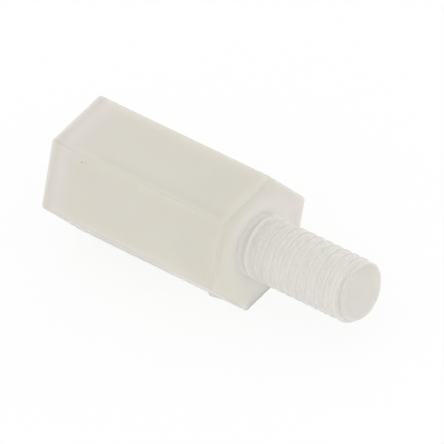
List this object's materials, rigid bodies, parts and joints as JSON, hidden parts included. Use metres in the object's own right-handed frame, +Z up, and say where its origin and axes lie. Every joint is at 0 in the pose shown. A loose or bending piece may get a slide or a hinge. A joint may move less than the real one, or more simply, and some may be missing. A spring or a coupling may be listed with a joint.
{
  "type": "hex standoff",
  "caption": "Male-female hex standoff in translucent natural nylon: a short hexagonal spacer with a threaded stud at one end and a tapped blind hole in the other.",
  "frame": {"origin": "on the part's axis, in the plane of the end face that holds the tapped hole", "axes": "+X along the axis towards the stud, +Z up out of the top flat, with the part lying on the opposite flat, and +Y across two corners"},
  "size_m": [0.016, 0.0064, 0.0054],
  "materials": {
    "natural_nylon": "satin"
  },
  "bodies": {
    "root": {"hex_standoff": "natural_nylon"}
  },
  "joints": []
}
